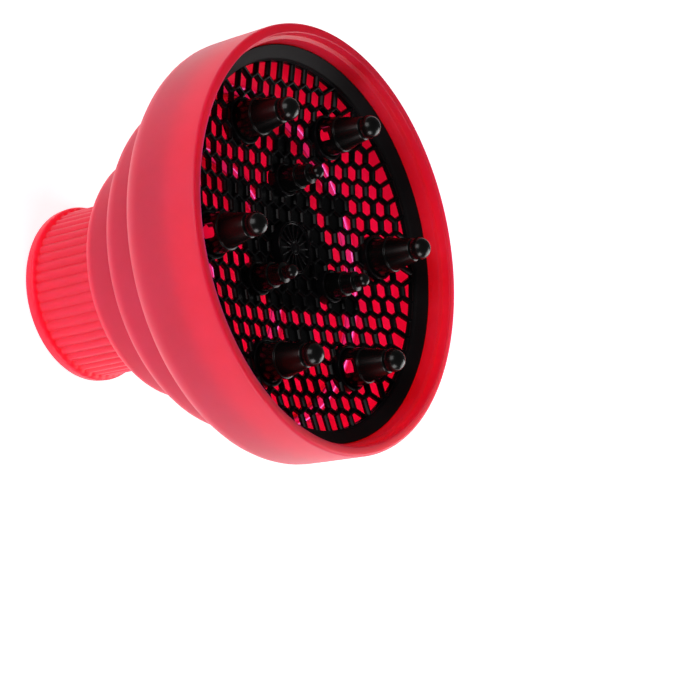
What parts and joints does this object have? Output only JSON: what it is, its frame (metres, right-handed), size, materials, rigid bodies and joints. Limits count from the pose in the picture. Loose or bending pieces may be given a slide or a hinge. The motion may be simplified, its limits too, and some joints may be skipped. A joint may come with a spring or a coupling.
{
  "type": "hair dryer diffuser",
  "caption": "Collapsible round diffuser for a hair dryer: soft stepped sleeve with a ribbed collar, dished honeycomb grille, hollow massage fingers.",
  "frame": {"origin": "centre of the collar's open end, which the part stands on", "axes": "+Z the way the air blows, from the collar to the grille; +X through large finger 1"},
  "size_m": [0.144, 0.144, 0.1167],
  "materials": {
    "silicone": "soft matt coral-pink silicone with a faint sheen",
    "grille_plastic": "satin dark grey moulded plastic",
    "finger_plastic": "glossy black moulded plastic"
  },
  "bodies": {
    "collar": {"collar": "silicone"},
    "small_step": {"small_step_ring": "silicone", "rear_fold": "silicone"},
    "large_step": {"large_step_ring": "silicone", "middle_fold": "silicone"},
    "bowl": {"bowl": "silicone", "front_fold": "silicone"},
    "grille": {"honeycomb_grille": "grille_plastic", "large_finger_1": "finger_plastic", "large_finger_2": "finger_plastic", "large_finger_3": "finger_plastic", "large_finger_4": "finger_plastic", "large_finger_5": "finger_plastic", "large_finger_6": "finger_plastic", "small_finger_1": "finger_plastic", "small_finger_2": "finger_plastic", "small_finger_3": "finger_plastic"}
  },
  "joints": [
    {"name": "rear_fold_slide", "type": "slide", "parent": "collar", "child": "small_step", "axis": [0, 0, -1], "range_m": [0, 0.018], "deforming": ["rear_fold"]},
    {"name": "middle_fold_slide", "type": "slide", "parent": "small_step", "child": "large_step", "axis": [0, 0, -1], "range_m": [0, 0.018], "deforming": ["middle_fold"]},
    {"name": "front_fold_slide", "type": "slide", "parent": "large_step", "child": "bowl", "axis": [0, 0, -1], "range_m": [0, 0.018], "deforming": ["front_fold"]},
    {"name": "grille_pull_out", "type": "slide", "parent": "bowl", "child": "grille", "axis": [0, 0, 1], "range_m": [0, 0.045]}
  ]
}
